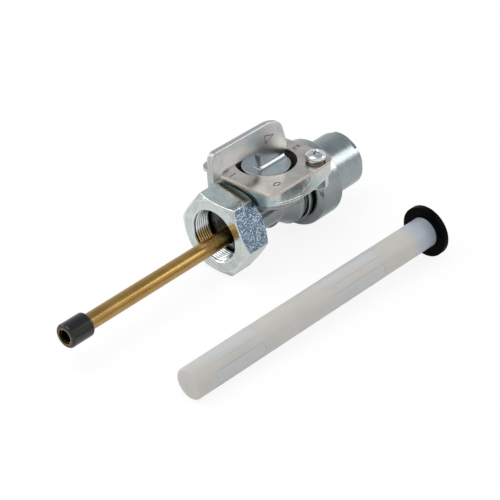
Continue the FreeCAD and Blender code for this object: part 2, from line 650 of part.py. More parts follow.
packing = sub_part("valve_packing")
round_bar(packing, "Additive", "packing_disc", TURN_Z, (HUB_X, "0", CHAMBER_FLOOR),
          "sizes.chamber_r - sizes.packing_round_gap", "sizes.packing_height")
for port, x, y in (("main_port", main_x, "sizes.main_passage_y"),
                   ("reserve_port", reserve_x, "sizes.reserve_passage_y"), ("bowl_port", bowl_x, "0")):
    round_bar(packing, "Subtractive", port, TURN_Z, (x, y, CHAMBER_FLOOR),
              "sizes.packing_port_r", "sizes.packing_height")

washer = sub_part("spring_washer")
washer_low = FLANGE_TOP + " + sizes.washer_gap"
washer_high = PAD_TOP + " - sizes.washer_gap"
washer_inner = HUB_X + " + sizes.lever_disc_r + sizes.washer_disc_gap"
washer_outer = HUB_X + " + sizes.chamber_r - sizes.washer_round_gap"
turned_on_hub(washer, "Revolution", "washer_dish", [
    (washer_inner, washer_low),
    (washer_outer, washer_high + " - sizes.washer_thickness"),
    (washer_outer, washer_high),
    (washer_inner, washer_low + " + sizes.washer_thickness"),
])

# Cover plate: nickelled sheet steel with a large hole for the lever and two screw holes.
plate = sub_part("lever_plate")
block(plate, "Additive", "plate_blank",
      (PAD_X + " - sizes.plate_overhang", "-sizes.pad_near_reach - sizes.plate_overhang", PAD_TOP),
      ("sizes.pad_front_reach + sizes.pad_back_reach + 2 * sizes.plate_overhang",
       "sizes.pad_near_reach + sizes.pad_far_reach + 2 * sizes.plate_overhang", "sizes.plate_thickness"))
rounded(plate, "Fillet", "plate_corners", lambda e: runs_along(e, 2, START_VALUES["plate_thickness"]),
        "sizes.plate_corner")
round_bar(plate, "Subtractive", "plate_hole", TURN_Z, (HUB_X, "0", PAD_TOP),
          "sizes.plate_hole_r", "sizes.plate_thickness")
for side in ("front", "rear"):
    round_bar(plate, "Subtractive", side + "_plate_hole", TURN_Z,
              (SCREW_X[side], "sizes.%s_screw_y" % side, PAD_TOP), SCREW_HOLE_R, "sizes.plate_thickness")

# Plate screws: M4 with a low round head on a narrower seat, and a cross recess.
for side, label in (("front", "plate_screw_front"), ("rear", "plate_screw_rear")):
    screw = sub_part(label)
    at_x = SCREW_X[side]
    at_y = "sizes.%s_screw_y" % side
    round_bar(screw, "Additive", side + "_seat", TURN_Z, (at_x, at_y, PLATE_TOP),
              "sizes.screw_seat_r", "sizes.screw_seat_height")
    round_bar(screw, "Additive", side + "_head", TURN_Z, (at_x, at_y, SCREW_HEAD_Z),
              "sizes.screw_head_r", "sizes.screw_head_height")
    head_top = evaluated(SCREW_HEAD_Z) + START_VALUES["screw_head_height"]
    rounded(screw, "Fillet", side + "_head_rounding",
            lambda e: circle_at(e, 2, head_top, START_VALUES["screw_head_r"]), "sizes.screw_head_round")
    round_bar(screw, "Additive", side + "_shank", TURN_Z,
              (at_x, at_y, PLATE_TOP + " - sizes.screw_shank_length"),
              "sizes.screw_shank_r", "sizes.screw_shank_length")
    cross_base = SCREW_HEAD_Z + " + sizes.screw_head_height - sizes.screw_cross_depth"
    block(screw, "Subtractive", side + "_cross_long",
          (at_x + " - sizes.screw_cross_length / 2", at_y + " - sizes.screw_cross_width / 2", cross_base),
          ("sizes.screw_cross_length", "sizes.screw_cross_width", "sizes.screw_cross_depth"))
    block(screw, "Subtractive", side + "_cross_wide",
          (at_x + " - sizes.screw_cross_width / 2", at_y + " - sizes.screw_cross_length / 2", cross_base),
          ("sizes.screw_cross_width", "sizes.screw_cross_length", "sizes.screw_cross_depth"))

# Sediment cup: turned steel cup, screwed into the collar, with six spanner flats at its closed end.
cup = sub_part("sediment_cup")
cup_bore_r = "sizes.cup_r - sizes.cup_wall"
revolved(cup, "Revolution", "cup_wall", [
    (CUP_SEAT, cup_bore_r),
    (CUP_SEAT, "sizes.cup_r"),
    (CUP_END + " - sizes.cup_edge", "sizes.cup_r"),
    (CUP_END, "sizes.cup_r - sizes.cup_edge"),
    (CUP_END, "0"),
    (CUP_END + " - sizes.cup_floor", "0"),
    (CUP_END + " - sizes.cup_floor", cup_bore_r),
])
flat_cut = cup.newObject("PartDesign::SubtractiveBox", "cup_flat")
drive(flat_cut, Length="sizes.cup_flats_length", Width="sizes.cup_r * 2", Height="sizes.cup_r")
flat_cut.setExpression("Placement", (
    "placement(vector(%s - sizes.cup_flats_length; 0; 0); rotationx(sizes.cup_flats_roll))"
    " * placement(vector(0; -sizes.cup_r; sizes.cup_flats / 2); rotationx(0))") % CUP_END)
flats = cup.newObject("PartDesign::PolarPattern", "cup_flats_pattern")
flats.Originals = [flat_cut]
flats.Axis = ([f for f in cup.Origin.OriginFeatures if f.Role == "X_Axis"][0], [""])
flats.Angle = 360
flats.Occurrences = 6
cup.Tip = flats

cup_seal = sub_part("cup_seal_ring")
ring_cord(cup_seal, "cup_seal_cord", TURN_X, ("(%s + %s) / 2" % (BOWL_SHOULDER, CUP_SEAT), "0", "0"),
          "sizes.cup_r - sizes.cup_seal_inset", "sizes.cup_seal_space / 2 - sizes.cup_seal_gap")

# Bowl screen: moulded rim with a closed gauze finger that stands in the cup.
screen = sub_part("bowl_screen")
rim_x = CUP_SEAT + " + sizes.screen_rim_depth"
rim_r = cup_bore_r + " - sizes.screen_rim_gap"
revolved(screen, "Revolution", "screen_body", [
    (rim_x, "sizes.screen_r - sizes.screen_wall"),
    (rim_x, rim_r),
    (rim_x + " + sizes.screen_rim_length", rim_r),
    (rim_x + " + sizes.screen_rim_length", "sizes.screen_r"),
    (rim_x + " + sizes.screen_length", "sizes.screen_r"),
    (rim_x + " + sizes.screen_length", "0"),
    (rim_x + " + sizes.screen_length - sizes.screen_wall", "0"),
    (rim_x + " + sizes.screen_length - sizes.screen_wall", "sizes.screen_r - sizes.screen_wall"),
])

# Strainer: moulded nylon tube with a closed end and two rows of four windows, lying on the ground by the tap.
# Its gasket lifts the open end, so it slopes by the angle that both rest on the ground at.
STRAINER_PLACE = (
    "placement(vector(sizes.strainer_x; sizes.strainer_y; sizes.strainer_r - sizes.collar_r);"
    " rotationz(sizes.strainer_yaw)"
    " * rotationy(-asin((sizes.gasket_r - sizes.strainer_r)"
    " / (sizes.strainer_length - sizes.strainer_flange_length))))"
)
gasket_x = "sizes.strainer_length - sizes.strainer_flange_length - sizes.gasket_thickness"

strainer = sub_part("strainer_frame")
round_bar(strainer, "Additive", "strainer_tube", TURN_X, ("0", "0", "0"),
          "sizes.strainer_r", "sizes.strainer_length")
rounded(strainer, "Fillet", "strainer_end", lambda e: circle_at(e, 0, 0, START_VALUES["strainer_r"]),
        "sizes.strainer_end_round")
round_bar(strainer, "Additive", "strainer_flange", TURN_X,
          ("sizes.strainer_length - sizes.strainer_flange_length", "0", "0"),
          "sizes.strainer_flange_r", "sizes.strainer_flange_length")
round_bar(strainer, "Subtractive", "strainer_bore", TURN_X, ("sizes.strainer_end_wall", "0", "0"),
          "sizes.strainer_bore_r", "sizes.strainer_length - sizes.strainer_end_wall")
for row_name in ("first", "second"):
    start = "sizes.%s_window_x" % row_name
    length = "sizes.%s_window_length" % row_name
    round_bar(strainer, "Subtractive", row_name + "_mesh_pocket", TURN_X,
              (start + " - sizes.mesh_pocket_margin", "0", "0"),
              "sizes.mesh_pocket_r", length + " + 2 * sizes.mesh_pocket_margin")
    block(strainer, "Subtractive", row_name + "_side_windows",
          (start, "-sizes.strainer_r - sizes.window_cut_margin", "-sizes.window_half_width"),
          (length, "2 * sizes.strainer_r + 2 * sizes.window_cut_margin", "2 * sizes.window_half_width"))
    block(strainer, "Subtractive", row_name + "_top_windows",
          (start, "-sizes.window_half_width", "-sizes.strainer_r - sizes.window_cut_margin"),
          (length, "2 * sizes.window_half_width", "2 * sizes.strainer_r + 2 * sizes.window_cut_margin"))
strainer.setExpression("Placement", STRAINER_PLACE)

# The gauze sleeves behind the windows.
for row_name, label in (("first", "strainer_mesh_end"), ("second", "strainer_mesh_middle")):
    mesh = sub_part(label)
    start = "sizes.%s_window_x - sizes.mesh_pocket_margin + sizes.mesh_gap" % row_name
    length = "sizes.%s_window_length + 2 * sizes.mesh_pocket_margin - 2 * sizes.mesh_gap" % row_name
    round_bar(mesh, "Additive", row_name + "_gauze", TURN_X, (start, "0", "0"),
              "sizes.mesh_pocket_r - sizes.mesh_gap", length)
    round_bar(mesh, "Subtractive", row_name + "_gauze_bore", TURN_X, (start, "0", "0"),
              "sizes.mesh_pocket_r - sizes.mesh_gap - sizes.mesh_thickness", length)
    mesh.setExpression("Placement", STRAINER_PLACE)

gasket = sub_part("strainer_gasket")
round_bar(gasket, "Additive", "gasket_disc", TURN_X, (gasket_x, "0", "0"),
          "sizes.gasket_r", "sizes.gasket_thickness")
round_bar(gasket, "Subtractive", "gasket_hole", TURN_X, (gasket_x, "0", "0"),
          "sizes.strainer_r + sizes.gasket_fit", "sizes.gasket_thickness")
gasket.setExpression("Placement", STRAINER_PLACE)

doc.recompute()

faults = []
for item in doc.Objects:
    if any(word in item.State for word in ("Invalid", "Error")):
        faults.append(item.Name)
for body in PARTS:
    if body.Shape.isNull() or not body.Shape.isValid() or not body.Shape.Solids:
        faults.append(body.Label)
if faults:
    raise RuntimeError("failed: " + ", ".join(faults))

os.makedirs("parts", exist_ok=True)
for body in PARTS:
    body.Shape.exportStep("parts/%s.step" % body.Label)
    box = body.Shape.BoundBox
    print("%-22s solids %d volume %9.1f  x %.1f..%.1f y %.1f..%.1f z %.1f..%.1f" % (
        body.Label, len(body.Shape.Solids), body.Shape.Volume, box.XMin, box.XMax, box.YMin, box.YMax,
        box.ZMin, box.ZMax))
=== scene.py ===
import math

import bpy
from mathutils import Matrix, Vector


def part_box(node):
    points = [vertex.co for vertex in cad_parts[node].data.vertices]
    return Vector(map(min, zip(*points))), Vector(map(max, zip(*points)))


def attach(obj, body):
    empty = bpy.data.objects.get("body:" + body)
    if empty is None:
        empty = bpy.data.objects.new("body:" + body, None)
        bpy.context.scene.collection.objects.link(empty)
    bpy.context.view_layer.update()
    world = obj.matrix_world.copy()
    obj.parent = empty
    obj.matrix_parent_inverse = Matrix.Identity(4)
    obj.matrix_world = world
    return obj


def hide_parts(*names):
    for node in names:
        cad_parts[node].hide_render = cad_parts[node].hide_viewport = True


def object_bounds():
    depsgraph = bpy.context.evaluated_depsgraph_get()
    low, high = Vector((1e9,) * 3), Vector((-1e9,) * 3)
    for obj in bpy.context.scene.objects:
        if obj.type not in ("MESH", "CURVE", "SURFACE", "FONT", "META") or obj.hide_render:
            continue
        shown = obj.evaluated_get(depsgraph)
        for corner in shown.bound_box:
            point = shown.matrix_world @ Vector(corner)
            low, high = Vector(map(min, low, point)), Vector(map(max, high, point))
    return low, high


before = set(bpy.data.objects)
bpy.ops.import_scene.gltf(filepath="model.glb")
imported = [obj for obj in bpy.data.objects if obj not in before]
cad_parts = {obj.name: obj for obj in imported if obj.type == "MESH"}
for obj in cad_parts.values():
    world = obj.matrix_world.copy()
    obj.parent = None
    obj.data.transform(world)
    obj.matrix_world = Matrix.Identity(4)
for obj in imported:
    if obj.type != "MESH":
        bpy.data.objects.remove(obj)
cad_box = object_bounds()
bpy.ops.object.select_all(action="DESELECT")

# The studio: a white paper sweep to stand the tap on, and a camera on a tripod. One large softbox hangs
# overhead, one stands behind at the left, and a smaller one at the right draws the long bright line on the
# cup. Two grey cards hang where the bare metal mirrors them.
mm = 0.001
scene = bpy.context.scene
scene.view_settings.view_transform = "Standard"
yaw, pitch, roll = math.radians(46.0351), math.radians(32.6199), math.radians(3.3157)
ahead = Vector((math.sin(yaw) * math.cos(pitch), math.cos(yaw) * math.cos(pitch), -math.sin(pitch)))
level_right = Vector((math.cos(yaw), -math.sin(yaw), 0))
level_down = ahead.cross(level_right)
right = math.cos(roll) * level_right + math.sin(roll) * level_down
down = math.cos(roll) * level_down - math.sin(roll) * level_right
bpy.ops.object.camera_add()
camera = bpy.context.object
camera.matrix_world = Matrix((right, -down, -ahead)).transposed().to_4x4()
camera.location = Vector((-320.908, -326.175, 286.481)) * mm
camera.data.lens = 115.61
camera.data.sensor_width = 36
camera.data.clip_start = 0.01
scene.camera = camera


def blank(owner):
    """Clears the nodes of a material or of the world, and returns its nodes and links."""
    owner.use_nodes = True
    owner.node_tree.nodes.clear()
    return owner.node_tree.nodes, owner.node_tree.links


def both(nodes, links, first, second, operation="MULTIPLY"):
    """One step of arithmetic with two values, and its output."""
    made = nodes.new("ShaderNodeMath")
    made.operation = operation
    for socket, value in zip(made.inputs, (first, second)):
        if isinstance(value, (int, float)):
            socket.default_value = value
        else:
            links.new(value, socket)
    return made.outputs[0]


def seen_white(nodes, links, shader, white, seen, mirrored):
    """Mixes white into a shader, by one share for the camera and another for what metal and nylon show."""
    rays = nodes.new("ShaderNodeLightPath").outputs
    in_mirrors = both(nodes, links, rays["Is Glossy Ray"], rays["Is Transmission Ray"], "MAXIMUM")
    mix = nodes.new("ShaderNodeMixShader")
    links.new(both(nodes, links, both(nodes, links, rays["Is Camera Ray"], seen),
                   both(nodes, links, in_mirrors, mirrored), "MAXIMUM"), mix.inputs[0])
    links.new(shader.outputs[0], mix.inputs[1])
    links.new(white.outputs[0], mix.inputs[2])
    return mix.outputs[0]


def named(name):
    """Names the piece that was just made, and returns it."""
    made = bpy.context.object
    made.name = name
    return made


world = bpy.data.worlds.new("studio_air")
scene.world = world
nodes, links = blank(world)
air = nodes.new("ShaderNodeBackground")
air.inputs["Color"].default_value = (0.95, 0.97, 1, 1)
air.inputs["Strength"].default_value = 0.64
white_air = nodes.new("ShaderNodeBackground")
white_air.inputs["Strength"].default_value = 1
links.new(seen_white(nodes, links, air, white_air, 1, 1),
          nodes.new("ShaderNodeOutputWorld").inputs["Surface"])

bpy.ops.mesh.primitive_plane_add(size=3, location=(0, 0, cad_box[0][2]))
floor = named("sweep_floor")
sweep = bpy.data.materials.new("sweep_paper")
nodes, links = blank(sweep)
paper = nodes.new("ShaderNodeBsdfDiffuse")
paper.inputs["Color"].default_value = (0.9, 0.9, 0.9, 1)
lit_paper = nodes.new("ShaderNodeEmission")
lit_paper.inputs["Strength"].default_value = 1.03
links.new(seen_white(nodes, links, paper, lit_paper, 0.85, 0.5),
          nodes.new("ShaderNodeOutputMaterial").inputs["Surface"])
floor.data.materials.append(sweep)


def toward(azimuth, height):
    """The direction from the tap to a bearing and height in degrees."""
    az, el = math.radians(azimuth), math.radians(height)
    return Vector((math.cos(az) * math.cos(el), math.sin(az) * math.cos(el), math.sin(el)))


def softbox(name, aim, azimuth, height, distance, size, power, colour):
    """Hangs an area lamp at a bearing and height in degrees. Its aim is in millimetres, the rest in metres."""
    way = toward(azimuth, height)
    bpy.ops.object.light_add(type="AREA", location=Vector(aim) * mm + way * distance)
    lamp = named(name)
    lamp.rotation_euler = way.to_track_quat("Z", "Y").to_euler()
    lamp.data.shape = "RECTANGLE"
    lamp.data.size, lamp.data.size_y = size
    lamp.data.energy = power
    lamp.data.color = colour


def card(name, azimuth, height, distance, size, colour):
    """Hangs a card of one colour that only shows in what the metal mirrors, in degrees and metres."""
    way = toward(azimuth, height)
    bpy.ops.mesh.primitive_plane_add(size=1, location=way * distance)
    made = named(name)
    made.rotation_euler = way.to_track_quat("Z", "Y").to_euler()
    made.scale = (*size, 1)
    cloth = bpy.data.materials.new(name + "_cloth")
    nodes, links = blank(cloth)
    shown = nodes.new("ShaderNodeEmission")
    shown.inputs["Color"].default_value = (*colour, 1)
    links.new(shown.outputs[0], nodes.new("ShaderNodeOutputMaterial").inputs["Surface"])
    made.data.materials.append(cloth)
    made.visible_camera = False
    made.visible_diffuse = False
    made.visible_shadow = False


softbox("overhead_softbox", (0, 0, 0), 150, 68, 0.8, (0.6, 0.6), 2.1, (1, 0.985, 0.96))
softbox("back_softbox", (0, 0, 0), 110, 25, 0.9, (0.7, 0.4), 1.5, (0.95, 0.98, 1))
softbox("right_softbox", (40, 0, 0), -41, 30, 0.7, (0.26, 0.30), 0.70, (1, 0.99, 0.97))
card("grey_ceiling", -8, 64, 1.1, (1.1, 0.95), (0.46, 0.50, 0.53))
card("back_card", 48, 46, 1.2, (1.0, 0.75), (0.58, 0.62, 0.65))
bpy.ops.object.select_all(action="DESELECT")

# The union nut: a 27 mm hexagon nut of bright zinc-plated steel, turned and then tapped M20 x 1 from its open
# end. The zinc has set in small crystals that glitter, its edges are worn bright and carry a painted
# highlight, and one of its flats carries a painted reflection of dark blue and white speckles.


def surface(name):
    """Starts a material: returns it with its nodes, links, shader and object coordinates in millimetres."""
    made = bpy.data.materials.new(name)
    made.use_nodes = True
    nodes, links = made.node_tree.nodes, made.node_tree.links
    place = nodes.new("ShaderNodeTexCoord")
    scale = nodes.new("ShaderNodeMapping")
    scale.inputs["Scale"].default_value = (1000, 1000, 1000)
    links.new(place.outputs["Object"], scale.inputs["Vector"])
    return made, nodes, links, nodes["Principled BSDF"], scale


def noise(nodes, links, where, size, detail, roughness=0.55):
    """Noise with features of a size in millimetres."""
    made = nodes.new("ShaderNodeTexNoise")
    made.inputs["Scale"].default_value = 1 / size
    made.inputs["Detail"].default_value = detail
    made.inputs["Roughness"].default_value = roughness
    links.new(where.outputs[0], made.inputs["Vector"])
    return made


def ramp(nodes, links, value, stops):
    """A colour ramp on a value, from a list of places and colours."""
    made = nodes.new("ShaderNodeValToRGB")
    elements = made.color_ramp.elements
    for number, (place, colour) in enumerate(stops):
        element = elements[number] if number < 2 else elements.new(place)
        element.position = place
        element.color = (*colour, 1)
    links.new(value, made.inputs["Fac"])
    return made


def blend(nodes, links, factor, first, second, kind="MIX"):
    """Mixes two colours by a value, and returns the colour's socket."""
    made = nodes.new("ShaderNodeMix")
    made.data_type = "RGBA"
    made.blend_type = kind
    for socket, value in ((made.inputs[0], factor), (made.inputs[6], first), (made.inputs[7], second)):
        if isinstance(value, (int, float)):
            socket.default_value = value
        elif isinstance(value, tuple):
            socket.default_value = (*value, 1)
        else:
            links.new(value, socket)
    return made.outputs[2]


def span(nodes, links, value, low, high, from_low=0.3, from_high=0.7):
    """Spreads a value over a new range, and returns the value's socket."""
    made = nodes.new("ShaderNodeMapRange")
    made.inputs["From Min"].default_value = from_low
    made.inputs["From Max"].default_value = from_high
    made.inputs["To Min"].default_value = low
    made.inputs["To Max"].default_value = high
    links.new(value, made.inputs["Value"])
    return made.outputs[0]


def vector_math(nodes, links, operation, first, second=None):
    """One step of vector arithmetic, and its output."""
    made = nodes.new("ShaderNodeVectorMath")
    made.operation = operation
    for socket, value in zip(made.inputs, (first, second)):
        if isinstance(value, tuple):
            socket.default_value = value
        elif isinstance(value, float):
            made.inputs["Scale"].default_value = value
        elif value is not None:
            links.new(value, socket)
    return made.outputs["Value" if operation in ("DOT_PRODUCT", "LENGTH") else "Vector"]


def relief(nodes, links, height, depth, before=None):
    """Bump of a depth in millimetres, on top of another normal, and its output."""
    made = nodes.new("ShaderNodeBump")
    made.inputs["Distance"].default_value = depth * mm
    links.new(height, made.inputs["Height"])
    if before:
        links.new(before, made.inputs["Normal"])
    return made.outputs[0]


def soft_edges(nodes, radius):
    """Rounds the corners that a lathe or a mould leaves, for the light only, and returns the normal."""
    made = nodes.new("ShaderNodeBevel")
    made.samples = 6
    made.inputs["Radius"].default_value = radius * mm
    return made.outputs[0]


def glitter(nodes, links, where, size, tilt, before, beyond):
    """Tilts small flat crystals of a size in millimetres each its own way, and returns the normal. With a
    distance in beyond, they lie only farther than that from the x axis."""
    crystals = nodes.new("ShaderNodeTexVoronoi")
    crystals.inputs["Scale"].default_value = 1 / size
    links.new(where.outputs[0], crystals.inputs["Vector"])
    lean = vector_math(nodes, links, "SUBTRACT", crystals.outputs["Color"], (0.5, 0.5, 0.5))
    small = vector_math(nodes, links, "SCALE", lean, tilt)
    if beyond:
        across = vector_math(nodes, links, "MULTIPLY", where.outputs[0], (0.0, 1.0, 1.0))
        away = vector_math(nodes, links, "LENGTH", across)
        kept = vector_math(nodes, links, "SCALE", small, 1.0)
        links.new(span(nodes, links, away, 0.0, 1.0, beyond, beyond + 0.6), kept.node.inputs["Scale"])
        small = kept
    return vector_math(nodes, links, "NORMALIZE", vector_math(nodes, links, "ADD", small, before))


def worn_highlit_edges(nodes, links, colour, rounded, bright):
    """Brightens the colour on corners and edges, where the rounded normal leaves the true one: wear, and a
    painted highlight.
    """
    true = nodes.new("ShaderNodeNewGeometry")
    same = vector_math(nodes, links, "DOT_PRODUCT", true.outputs["True Normal"], rounded)
    worn = span(nodes, links, same, 1.0, 0.0, 0.94, 1.0)
    return blend(nodes, links, worn, colour, bright)


def shaded_hollows(nodes, links, colour, reach, dark):
    """Paints shade into the colour where other surfaces are near, in grooves and corners, as far as reach in
    millimetres.
    """
    shade = nodes.new("ShaderNodeAmbientOcclusion")
    shade.samples = 8
    shade.inputs["Distance"].default_value = reach * mm
    return blend(nodes, links, span(nodes, links, shade.outputs["AO"], 0.0, 1.0, 0.25, 0.85),
                 blend(nodes, links, 1.0, colour, (dark,) * 3, "MULTIPLY"), colour)


def plated(name, clouds, cloud_size, mottle, mottle_size, rough, wave, edge,
           crystals=None, bright=None, hollow_shade=(1.5, 0.45)):
    """Plated metal: clouds of colour, mottling, uneven gloss, waves, crystals, worn edges with a painted
    highlight, and painted shade in hollows.
    """
    made, nodes, links, shader, where = surface(name)
    cloud = noise(nodes, links, where, cloud_size, 4)
    fine = noise(nodes, links, where, mottle_size, 2, 0.7)
    spotted = ramp(nodes, links, fine.outputs["Fac"], [(0.32, (mottle,) * 3), (0.62, (1, 1, 1))])
    colour = blend(nodes, links, 1.0, ramp(nodes, links, cloud.outputs["Fac"], clouds).outputs[0],
                   spotted.outputs[0], "MULTIPLY")
    rounded = soft_edges(nodes, edge)
    # Edges get a lighter colour: wear, together with a painted highlight.
    if bright:
        colour = worn_highlit_edges(nodes, links, colour, rounded, bright)
    links.new(shaded_hollows(nodes, links, colour, *hollow_shade), shader.inputs["Base Color"])
    shader.inputs["Metallic"].default_value = 1
    glossiest, dullest = rough
    links.new(span(nodes, links, fine.outputs["Fac"], dullest, glossiest), shader.inputs["Roughness"])
    wave_size, wave_deep = wave
    uneven = noise(nodes, links, where, wave_size, 2)
    normal = relief(nodes, links, uneven.outputs["Fac"], wave_deep, rounded)
    if crystals:
        size, tilt, beyond = crystals
        normal = glitter(nodes, links, where, size, tilt, normal, beyond)
    links.new(normal, shader.inputs["Normal"])
    return made


def opened(material):
    """A finished material's nodes, links, shader and object coordinates, to work on again."""
    nodes, links = material.node_tree.nodes, material.node_tree.links
    shader = next(node for node in nodes if node.type == "BSDF_PRINCIPLED")
    where = next(node for node in nodes if node.type == "MAPPING")
    return nodes, links, shader, where


def recoloured(nodes, links, shader, share, colour):
    """Lays another colour over a material's own where the share is 1."""
    own = shader.inputs["Base Color"].links[0].from_socket
    links.new(blend(nodes, links, share, own, colour), shader.inputs["Base Color"])


def dress(node, material):
    """Gives a CAD piece its material."""
    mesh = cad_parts[node].data
    mesh.materials.clear()
    mesh.materials.append(material)


def pick(piece, kind, wanted):
    """Opens a piece for editing, with only those edges or faces selected for which a test holds."""
    bpy.ops.object.mode_set(mode="EDIT")
    bpy.ops.mesh.select_mode(type=kind)
    bpy.ops.mesh.select_all(action="DESELECT")
    bpy.ops.object.mode_set(mode="OBJECT")
    for part in piece.data.edges if kind == "EDGE" else piece.data.polygons:
        part.select = wanted(part)
    bpy.ops.object.mode_set(mode="EDIT")


def put_down():
    """Ends the editing of a piece."""
    bpy.ops.mesh.select_mode(type="VERT")
    bpy.ops.object.mode_set(mode="OBJECT")


def fit(piece, body, material):
    """Settles a modelled piece: its place goes into its mesh, and it gets its material, body and slot."""
    bpy.ops.object.select_all(action="DESELECT")
    piece.select_set(True)
    bpy.context.view_layer.objects.active = piece
    bpy.ops.object.transform_apply(location=True, rotation=True, scale=True)
    piece.data.materials.clear()
    piece.data.materials.append(material)
    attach(piece, body)
    bpy.ops.object.select_all(action="DESELECT")


crystal_size, crystals_from_r = 0.26, 10.6
nut_zinc = plated("nut_bright_zinc",
                  [(0.30, (0.50, 0.56, 0.57)), (0.5, (0.60, 0.65, 0.63)), (0.7, (0.68, 0.74, 0.71))],
                  cloud_size=3.0, mottle=0.9, mottle_size=0.42, rough=(0.10, 0.18), wave=(1.2, 0.012),
                  edge=0.4, crystals=(crystal_size, 0.08, crystals_from_r), bright=(0.95, 0.97, 0.97),
                  hollow_shade=(3.0, 0.55))
nodes, links, shader, where = opened(nut_zinc)
# Painted reflection: one flat of the nut gets dark blue and white speckles, in the pattern of the crystals,
# over its own colour.
speckle_cells = nodes.new("ShaderNodeTexVoronoi")
speckle_cells.inputs["Scale"].default_value = 1 / crystal_size
links.new(where.outputs[0], speckle_cells.inputs["Vector"])
brightness = nodes.new("ShaderNodeSeparateColor")
links.new(speckle_cells.outputs["Color"], brightness.inputs[0])
patches = noise(nodes, links, where, 1.6, 5, 0.8)
speckled_reflection = ramp(nodes, links, both(nodes, links, brightness.outputs[0], patches.outputs["Fac"]),
            [(0.08, (0.09, 0.14, 0.22)), (0.25, (0.15, 0.23, 0.33)), (0.36, (0.33, 0.42, 0.50)),
             (0.50, (0.85, 0.92, 0.97))])
own_way = nodes.new("ShaderNodeVectorTransform")
own_way.vector_type = "NORMAL"
own_way.convert_from = "WORLD"
own_way.convert_to = "OBJECT"
links.new(nodes.new("ShaderNodeNewGeometry").outputs["True Normal"], own_way.inputs[0])
reflecting_flat_way = (0.0, -0.9135, 0.4067)
faces_it = vector_math(nodes, links, "DOT_PRODUCT", own_way.outputs[0], reflecting_flat_way)
recoloured(nodes, links, shader, span(nodes, links, faces_it, 0.0, 1.0, 0.975, 0.985), speckled_reflection.outputs[0])
dress("union_nut", nut_zinc)

thread_pitch, thread_turns = 1.0, 6
thread_profile = ((0.42, 9.52), (0.80, 8.98), (0.92, 8.98), (1.30, 9.52))
bpy.ops.mesh.primitive_plane_add(size=1)
thread = named("nut_thread")
for index, (along, out) in zip((0, 1, 3, 2), thread_profile):
    thread.data.vertices[index].co = Vector((along, 0, out)) * mm
bpy.ops.object.mode_set(mode="EDIT")
bpy.ops.mesh.select_all(action="SELECT")
bpy.ops.mesh.delete(type="ONLY_FACE")
pick(thread, "EDGE", lambda edge: set(edge.vertices) == {0, 2})
bpy.ops.mesh.delete(type="EDGE")
put_down()
helix = thread.modifiers.new("helix", "SCREW")
helix.axis = "X"
helix.screw_offset = thread_pitch * mm
helix.iterations = thread_turns
helix.steps = 64
helix.render_steps = 64
helix.use_smooth_shade = True
bpy.ops.object.modifier_apply(modifier="helix")
fit(thread, "nut", nut_zinc)

# The inlet spigot and the outlet nipple: small zinc castings pressed into the body. The spigot's flange keeps
# the nut on and seats the standpipe; the nipple takes the fuel hose.
spigot_zinc = plated("spigot_zinc",
                     [(0.3, (0.30, 0.33, 0.32)), (0.5, (0.42, 0.45, 0.43)), (0.7, (0.52, 0.55, 0.52))],
                     cloud_size=2.0, mottle=0.7, mottle_size=0.3, rough=(0.16, 0.34), wave=(2.0, 0.02),
                     edge=0.2)
dress("inlet_spigot", spigot_zinc)
dress("outlet_nipple", spigot_zinc)

# The standpipe: drawn brass tube, brown with age and finely lined along its length, with a black plastic
# sleeve pushed on its free end to hold the strainer off the metal. The pipe's bare rim shows in the sleeve.
brass, nodes, links, shader, where = surface("drawn_brass")
stretched = nodes.new("ShaderNodeMapping")
stretched.inputs["Scale"].default_value = (0.05, 1, 1)
links.new(where.outputs[0], stretched.inputs["Vector"])
drawn = noise(nodes, links, stretched, 0.5, 3)
tarnish = noise(nodes, links, where, 7.0, 5)
gold = ramp(nodes, links, tarnish.outputs["Fac"], [(0.3, (0.40, 0.24, 0.075)), (0.55, (0.46, 0.285, 0.095)),
                                                   (0.75, (0.52, 0.34, 0.13))])
lined = ramp(nodes, links, drawn.outputs["Fac"], [(0.3, (0.90, 0.88, 0.86)), (0.7, (1, 1, 1))])
aged = blend(nodes, links, 1.0, gold.outputs[0], lined.outputs[0], "MULTIPLY")
# Painted shade: the pipe darkens where the nut and other parts are near, within 9 mm.
links.new(shaded_hollows(nodes, links, aged, 9.0, 0.22), shader.inputs["Base Color"])
shader.inputs["Metallic"].default_value = 1
links.new(span(nodes, links, tarnish.outputs["Fac"], 0.22, 0.30), shader.inputs["Roughness"])
dress("standpipe", brass)


def thickened(piece, thickness, side):
    """Gives a sheet a thickness in millimetres: inwards with a side of -1, and to both sides with 0."""
    sheet = piece.modifiers.new("sheet", "SOLIDIFY")
    sheet.thickness = thickness * mm
    sheet.offset = side
    bpy.ops.object.modifier_apply(modifier="sheet")


rim_r, rim_wide, rim_thick, rim_in = 3.05, 0.34, 0.25, 0.14
pipe_y, pipe_z = -1.5, -1.8
bpy.ops.mesh.primitive_circle_add(vertices=96, radius=rim_r * mm, fill_type="NGON",
                                  rotation=(0, math.radians(-90), 0))
rim = named("pipe_rim")
bpy.ops.object.mode_set(mode="EDIT")
bpy.ops.mesh.select_all(action="SELECT")
bpy.ops.mesh.inset(thickness=rim_wide * mm)
bpy.ops.mesh.delete(type="FACE")
bpy.ops.object.mode_set(mode="OBJECT")
thickened(rim, rim_thick, 0)
sleeve_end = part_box("standpipe_cap")[0][0]
rim.location = (sleeve_end + rim_in * mm, pipe_y * mm, pipe_z * mm)
fit(rim, "tap", brass)


